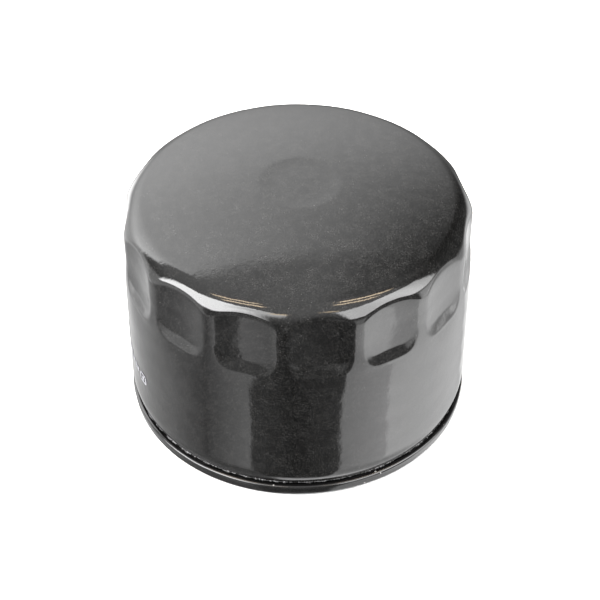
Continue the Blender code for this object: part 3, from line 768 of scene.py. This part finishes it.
def make_spring(node, wire, end_radius, turns, finish):
    """A round-wire spring with closed end turns, laid between the low and high ends of its CAD part.

    `wire` is the wire's radius and `end_radius` the coil's radius at the top.
    """
    low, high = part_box(node)
    closed_rise = 2 * wire + SPRING_END_GAP
    z_low = low.z + wire
    active_rise = (high.z - wire - z_low - 2 * closed_rise) / (turns - 2)
    turn = np.linspace(0.0, turns, int(turns * SPRING_STEPS_PER_TURN) + 1)[:, None]
    closed = np.minimum(turn, 1.0) + np.maximum(turn - (turns - 1.0), 0.0)
    z = z_low + closed_rise * closed + active_rise * (turn - closed)
    start_radius = high.x - wire
    radius = start_radius + (end_radius - start_radius) * turn / turns
    angle = 2 * math.pi * turn
    around = np.linspace(0.0, 2 * math.pi, SPRING_SIDES, endpoint=False)[None, :]
    out = radius + wire * np.cos(around)
    points = np.stack([out * np.cos(angle), out * np.sin(angle), z + wire * np.sin(around)], -1)
    this = np.arange(SPRING_SIDES)
    following = (this + 1) % SPRING_SIDES
    faces = [this[::-1].tolist(), (this + SPRING_SIDES * (len(turn) - 1)).tolist()]
    for row in range(len(turn) - 1):
        here = SPRING_SIDES * row
        there = here + SPRING_SIDES
        faces += np.stack([here + this, here + following, there + following, there + this],
                          -1).tolist()
    obj = smooth_object(node + "_wire", points.reshape(-1, 3).tolist(), faces)
    obj.data.materials.append(finish)
    weld(obj)
    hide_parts(node)
    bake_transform(obj)


# ---------------------------------------------------------------- printed marks

def make_print(finish):
    """A small framed block and a row of broken bars in pale ink: a generic code, no lettering."""
    bm = bmesh.new()
    radius = CAN_RADIUS + PRINT_LIFT
    start = CAMERA_AZIMUTH - math.pi / 2 - PRINT_START

    def patch(left, right, low, high):
        """One inked rectangle, in mm to the left along the wall from the start and up."""
        angles = start - np.linspace(left, right, 5) * MM / radius
        rows = [[bm.verts.new((radius * math.cos(a), radius * math.sin(a), PRINT_Z + z * MM))
                 for a in angles] for z in (low, high)]
        for i in range(len(angles) - 1):
            bm.faces.new((rows[0][i + 1], rows[0][i], rows[1][i], rows[1][i + 1]))

    line = PRINT_FRAME_LINE
    far = PRINT_FRAME_WIDTH - line
    top = PRINT_FRAME_HEIGHT - line
    patch(line, far, 0.0, line)
    patch(line, far, top, PRINT_FRAME_HEIGHT)
    patch(0.0, line, line, top)
    patch(far, PRINT_FRAME_WIDTH, line, top)
    aside, above = PRINT_BLOCK_INSET
    patch(aside, PRINT_FRAME_WIDTH - aside, above, PRINT_FRAME_HEIGHT - above)
    at = PRINT_FRAME_WIDTH + PRINT_FRAME_GAP
    for bar, gap, low, high in PRINT_BARS:
        patch(at, at + bar, low, high)
        at += bar + gap
    mesh = bpy.data.meshes.new("print_marks")
    bm.to_mesh(mesh)
    bm.free()
    obj = link_object("print_marks", mesh)
    sheet(obj, PRINT_SHEET, -1.0)
    dress(obj, finish, "casing", "can_paint")


# ---------------------------------------------------------------- studio

def toward(azimuth, elevation):
    """Unit direction, from its azimuth (0 to the camera, + to its right) and elevation.

    Both are in degrees.
    """
    turn = math.radians(azimuth)
    lift = math.radians(elevation)
    level = -CAMERA_AWAY * math.cos(turn) + CAMERA_RIGHT * math.sin(turn)
    return level * math.cos(lift) + Vector((0.0, 0.0, math.sin(lift)))


def dot(tree, vector, fixed):
    made = add_node(tree, "ShaderNodeVectorMath", operation="DOT_PRODUCT")
    tree.links.new(vector, made.inputs[0])
    made.inputs[1].default_value = fixed
    return made.outputs["Value"]


def between(tree, value, low, high):
    """1 between two soft edges, each given as its place and half its blur."""
    above = smooth_range(tree, value, low[0] - low[1], low[0] + low[1])
    below = smooth_range(tree, value, high[0] - high[1], high[0] + high[1], 1.0, 0.0)
    return maths(tree, "MULTIPLY", above, below)


def paint_over(tree, under, share, start, end, along, tint):
    """Cover a share of the sky with a tint whose radiance runs from start to end."""
    glow = maths(tree, "MULTIPLY_ADD", along, end - start, start)
    scaled = add_node(tree, "ShaderNodeVectorMath", operation="SCALE")
    scaled.inputs[0].default_value = tint
    tree.links.new(glow, scaled.inputs["Scale"])
    mixed = add_node(tree, "ShaderNodeMix", data_type="VECTOR")
    tree.links.new(share, mixed.inputs[0])
    tree.links.new(under, mixed.inputs[4])
    tree.links.new(scaled.outputs[0], mixed.inputs[5])
    return mixed.outputs[1]


def add_zone(tree, sky, azimuth, elevation, zone):
    """Paint a zone of the sky that is bounded by azimuths and elevations."""
    left, right, low, high, start, end = zone
    middle = (left[0] + right[0]) / 2
    half = (right[0] - left[0]) / 2
    turned = maths(tree, "WRAP", maths(tree, "SUBTRACT", azimuth, middle), 180.0, -180.0)
    side = between(tree, turned, (-half, left[1]), (half, right[1]))
    share = maths(tree, "MULTIPLY", side, between(tree, elevation, low, high))
    along = linear_range(tree, turned, -half, half)
    return paint_over(tree, sky, share, start, end, along, WHITE)


def add_panel(tree, sky, direction, panel):
    """Paint a flat light panel, which spans tangents to the side (p) and upwards (q)."""
    azimuth, tilt, left, right, low, high, start, end, tint = panel
    ahead = dot(tree, direction, toward(azimuth, tilt))
    side = dot(tree, direction, toward(azimuth + 90.0, 0.0))
    up = dot(tree, direction, toward(azimuth + 180.0, 90.0 - tilt))
    p = maths(tree, "DIVIDE", side, ahead)
    q = maths(tree, "DIVIDE", up, ahead)
    share = maths(tree, "MULTIPLY", between(tree, p, left, right), between(tree, q, low, high))
    in_front = maths(tree, "GREATER_THAN", ahead, 0.01)
    share = maths(tree, "MULTIPLY", share, in_front)
    along = linear_range(tree, p, left[0], right[0])
    return paint_over(tree, sky, share, start, end, along, tint)


WHITE = (1.0, 1.0, 1.0)
WARM = (1.0, 0.80, 0.55)
# The low edge of a zone that runs down to straight below
DOWN = (-99.0, 1.0)
# Left and right azimuth, low and high elevation, each with half its blur, in degrees; radiance
# at the left and at the right
SKY_ZONES = (
    # Table and its surroundings, as the can's wall sees them
    ((-212.0, 6.0), (-89.0, 3.0), DOWN, (-28.0, 5.0), 1.3, 0.85),
    ((-91.0, 3.0), (-66.0, 3.0), DOWN, (-30.0, 8.0), 0.82, 0.45),
    ((-66.0, 3.0), (-32.0, 1.0), DOWN, (-31.0, 5.0), 0.42, 1.60),
    ((-32.0, 1.0), (0.0, 2.0), DOWN, (-28.0, 10.0), 0.42, 0.13),
    ((-2.0, 2.0), (29.5, 1.0), DOWN, (-28.0, 10.0), 0.13, 0.38),
    ((29.5, 1.3), (63.5, 1.3), DOWN, (-27.0, 3.0), 2.3, 3.05),
    ((63.5, 1.3), (152.0, 6.0), DOWN, (-27.0, 4.0), 4.15, 0.9),
    ((-179.0, 2.0), (-160.0, 9.0), (-64.0, 5.0), (-8.0, 8.0), 0.35, 0.80),
    # Shade beside the foot, then the lit table
    ((-212.0, 6.0), (-32.0, 5.0), DOWN, (-52.0, 5.0), 0.45, 0.40),
    ((-32.0, 5.0), (29.5, 2.0), DOWN, (-52.0, 5.0), 0.15, 0.20),
    ((29.5, 2.0), (152.0, 5.0), DOWN, (-52.0, 5.0), 1.7, 1.5),
    ((-27.0, 9.0), (152.0, 6.0), DOWN, (-69.0, 5.0), 2.6, 3.2),
    # Low surroundings, as the lower ends of the flutes see them
    ((-98.0, 6.0), (-56.0, 5.0), (-27.0, 12.0), (16.0, 5.0), 2.2, 2.0),
    ((-56.0, 4.0), (-25.0, 4.0), (-31.0, 5.0), (-18.0, 6.0), 1.3, 0.7),
    ((-56.0, 4.0), (-20.0, 6.0), (-18.0, 6.0), (8.0, 6.0), 0.45, 0.8),
    ((-156.0, 6.0), (-138.0, 4.0), (-29.0, 11.0), (-2.0, 7.0), 3.8, 5.0),
    ((-138.0, 4.0), (-112.0, 5.0), (-31.0, 9.0), (2.0, 8.0), 2.5, 2.5),
    ((-112.0, 5.0), (-98.0, 5.0), (-32.0, 6.0), (12.0, 8.0), 3.2, 3.2),
    ((-8.0, 8.0), (12.0, 10.0), (-24.0, 8.0), (0.0, 8.0), 0.85, 0.65),
    ((29.5, 3.0), (48.0, 3.0), (-27.0, 3.0), (6.0, 6.0), 1.8, 2.2),
    ((48.0, 3.0), (74.0, 3.0), (-27.0, 3.0), (18.0, 3.0), 0.5, 0.5),
    ((74.0, 3.0), (100.0, 5.0), (-27.0, 6.0), (12.0, 5.0), 4.2, 4.8),
    ((96.0, 5.0), (119.0, 6.0), (-35.0, 6.0), (0.0, 8.0), 1.8, 1.7),
    ((119.0, 6.0), (150.0, 6.0), (-27.0, 8.0), (-3.0, 8.0), 3.6, 1.6),
    # Dim corner behind on the right
    ((98.0, 8.0), (165.0, 8.0), (50.0, 6.0), (72.0, 8.0), 0.7, 0.8),
    ((92.0, 10.0), (160.0, 12.0), (2.0, 5.0), (55.0, 8.0), 0.35, 0.05),
)
# Azimuth and elevation that the panel faces from, in degrees; left, right, low and high edge as
# tangents, each with half its blur; radiance at the left and at the right; tint
LIGHT_PANELS = (
    # Large soft panel behind
    (-170.0, 0.0, (-0.70, 0.38), (1.60, 0.20), (0.15, 0.45), (1.59, 0.035), 0.95, 8.0, WHITE),
    # Key light, front left, with its dimmer end
    (-29.0, 0.0, (-1.62, 0.22), (-0.02, 0.22), (0.30, 0.05), (1.64, 0.07), 19.0, 17.5, WHITE),
    (-29.0, 0.0, (-0.30, 0.20), (0.36, 0.05), (1.00, 0.25), (1.54, 0.08), 9.0, 8.0, WHITE),
    # Fill light, front right, with its brighter middle
    (55.0, 0.0, (-0.56, 0.08), (0.82, 0.06), (0.30, 0.03), (1.38, 0.06), 9.8, 7.6, WHITE),
    (55.0, 0.0, (0.05, 0.20), (0.50, 0.20), (0.30, 0.03), (1.38, 0.06), 11.8, 11.8, WHITE),
    # Narrow warm lamps overhead, whose low and high edges run away from the camera
    (0.0, 90.0, (-0.54, 0.03), (-0.21, 0.02), (-0.045, 0.01), (0.005, 0.01), 17.0, 17.0, WARM),
    (0.0, 90.0, (-0.53, 0.03), (-0.22, 0.02), (-0.200, 0.01), (-0.150, 0.01), 17.0, 21.0, WARM),
    (0.0, 90.0, (0.19, 0.02), (0.54, 0.03), (0.060, 0.01), (0.110, 0.01), 19.0, 17.0, WARM),
    (0.0, 90.0, (0.20, 0.02), (0.52, 0.03), (-0.100, 0.01), (-0.050, 0.01), 17.0, 15.0, WARM),
    (0.0, 90.0, (-0.30, 0.03), (-0.08, 0.02), (-0.73, 0.02), (-0.65, 0.02), 13.0, 11.0, WARM),
    (0.0, 90.0, (0.22, 0.03), (0.36, 0.03), (-0.68, 0.02), (-0.58, 0.02), 9.0, 9.0, WARM),
)
AMBIENT_BELOW = 0.30
AMBIENT_ABOVE = 1.50
AMBIENT_FULL_ELEVATION = 65.0
BACKDROP = 0.92
FLOOR_SIZE = 6.0


def make_studio():
    """A sky of soft zones and panels, fixed in the world.

    The camera itself sees a plain pale backdrop in place of the sky.
    """
    world = bpy.data.worlds.new("studio")
    bpy.context.scene.world = world
    world.use_nodes = True
    tree = world.node_tree
    tree.nodes.clear()
    direction = add_node(tree, "ShaderNodeTexCoord").outputs["Generated"]
    to_camera = dot(tree, direction, toward(0.0, 0.0))
    to_right = dot(tree, direction, toward(90.0, 0.0))
    lift = dot(tree, direction, (0.0, 0.0, 1.0))
    azimuth = maths(tree, "MULTIPLY", maths(tree, "ARCTAN2", to_right, to_camera),
                    math.degrees(1.0))
    elevation = maths(tree, "MULTIPLY", maths(tree, "ARCSINE", lift), math.degrees(1.0))
    ambient = smooth_range(tree, elevation, 0.0, AMBIENT_FULL_ELEVATION,
                           AMBIENT_BELOW, AMBIENT_ABOVE)
    base = add_node(tree, "ShaderNodeCombineXYZ")
    for socket in base.inputs:
        tree.links.new(ambient, socket)
    sky = base.outputs[0]
    for zone in SKY_ZONES:
        sky = add_zone(tree, sky, azimuth, elevation, zone)
    for panel in LIGHT_PANELS:
        sky = add_panel(tree, sky, direction, panel)
    studio = add_node(tree, "ShaderNodeBackground")
    tree.links.new(sky, studio.inputs["Color"])
    backdrop = add_node(tree, "ShaderNodeBackground")
    backdrop.inputs["Color"].default_value = grey(BACKDROP)
    seen_direct = add_node(tree, "ShaderNodeLightPath").outputs["Is Camera Ray"]
    chosen = add_node(tree, "ShaderNodeMixShader")
    tree.links.new(seen_direct, chosen.inputs[0])
    tree.links.new(studio.outputs[0], chosen.inputs[1])
    tree.links.new(backdrop.outputs[0], chosen.inputs[2])
    tree.links.new(chosen.outputs[0], add_node(tree, "ShaderNodeOutputWorld").inputs["Surface"])


def make_floor():
    """A pale plain floor, which the sky's zones stand in for in the paint's reflections."""
    bpy.ops.mesh.primitive_plane_add(size=FLOOR_SIZE)
    floor = bpy.context.object
    floor.name = "floor"
    made = Finish("floor")
    speckle = noise(made.tree, made.place, 40.0, 3.0, 0.5)
    made.set(Base_Color=mix_colour(made.tree, speckle, grey(0.78), grey(0.82)), Roughness=0.9)
    floor.data.materials.append(made.material)
    floor.visible_glossy = False


def make_camera():
    data = bpy.data.cameras.new("camera")
    data.lens = CAMERA_LENS
    data.clip_start = 10.0 * MM
    camera = link_object("camera", data)
    back = Vector((math.sin(CAMERA_AZIMUTH) * math.cos(CAMERA_ELEVATION),
                   -math.cos(CAMERA_AZIMUTH) * math.cos(CAMERA_ELEVATION),
                   math.sin(CAMERA_ELEVATION)))
    target = CAMERA_RIGHT * CAMERA_TARGET_RIGHT + Vector((0.0, 0.0, CAMERA_TARGET_Z))
    camera.location = target + back * CAMERA_DISTANCE
    camera.rotation_euler = back.to_track_quat("Z", "Y").to_euler()
    bpy.context.scene.camera = camera


# ---------------------------------------------------------------- the whole filter

make_camera()
make_studio()
make_floor()
bpy.context.scene.view_settings.view_transform = "Standard"

finishes = {
    "can_paint": can_paint(),
    "lid_paint": lid_paint(),
    "seam_compound": seam_compound(),
    "plate_steel": plate_steel(),
    "gasket_rubber": moulded_rubber("gasket_rubber", grey(0.010), colour(0.030, 0.030, 0.031), 0.45),
    "valve_rubber": moulded_rubber("valve_rubber", colour(0.42, 0.075, 0.022),
                                   colour(0.58, 0.13, 0.045), 0.40),
    "tinned_steel": tinned_steel(),
    "potting": potting(),
    "filter_paper": filter_paper(),
    "spring_steel": spring_steel(),
}
for part in frame["record"]["subparts"]:
    node = frame["nodes"][part["node"]]
    node.data.materials.clear()
    node.data.materials.append(finishes[part["material_slot"]])

make_can(finishes["can_paint"])
make_lid(finishes["lid_paint"])
make_bead(finishes["seam_compound"])
make_gasket(finishes["gasket_rubber"])
make_print(print_ink())
make_spring("element_spring", ELEMENT_SPRING_WIRE, ELEMENT_SPRING_END_RADIUS,
            ELEMENT_SPRING_TURNS, finishes["spring_steel"])
make_spring("bypass_spring", BYPASS_SPRING_WIRE, BYPASS_SPRING_END_RADIUS,
            BYPASS_SPRING_TURNS, finishes["spring_steel"])
